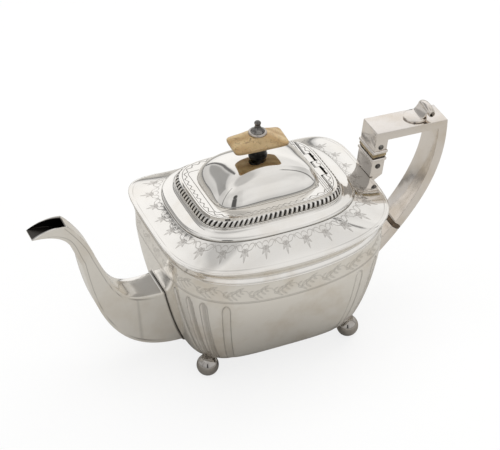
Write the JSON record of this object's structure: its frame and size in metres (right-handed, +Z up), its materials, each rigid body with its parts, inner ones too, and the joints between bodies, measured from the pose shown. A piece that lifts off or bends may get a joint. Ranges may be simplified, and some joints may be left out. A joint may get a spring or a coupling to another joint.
{
  "type": "silver teapot",
  "caption": "Oblong silver teapot with a domed flush-hinged lid, square-section spout, insulated square handle, corner flutes and ball feet.",
  "frame": {"origin": "on the table, under the middle of the overall length from spout tip to handle", "axes": "+X from the spout towards the handle, +Y across, +Z up from the table"},
  "size_m": [0.2844, 0.1242, 0.1631],
  "materials": {
    "silver": "polished sterling silver, lightly tarnished and worn",
    "dark_silver": "oxidised silver, dark in the recesses",
    "ivory": "aged polished ivory with fine grain"
  },
  "bodies": {
    "pot": {"body_shell": "silver", "base_plate": "silver", "shoulder": "silver", "rim_moulding": "silver", "belt_bead": "silver", "collar": "silver", "gadroon_border": "silver", "hinge_leaf": "silver", "hinge_pin": "dark_silver", "spout": "silver", "foot_spout_front": "silver", "foot_spout_back": "silver", "foot_handle_front": "silver", "foot_handle_back": "silver", "upper_socket": "silver", "upper_insulator": "ivory", "handle_frame": "silver", "post_moulding": "silver", "thumbpiece": "silver", "post_pin": "dark_silver", "socket_pin": "dark_silver", "lower_socket": "silver", "lower_insulator": "ivory", "lower_pin": "dark_silver"},
    "lid": {"lid_plate": "silver", "lid_bezel": "silver", "lid_dome": "silver", "finial_pedestal": "dark_silver", "finial_plaque": "ivory", "finial_disc": "silver", "finial_bud": "dark_silver", "finial_stud": "dark_silver", "finial_nut": "silver"}
  },
  "joints": [
    {"name": "lid_hinge", "type": "hinge", "parent": "pot", "child": "lid", "pos_m": [0.0519, 0, 0.11715], "axis": [0, 1, 0], "range_deg": [0, 90]}
  ]
}
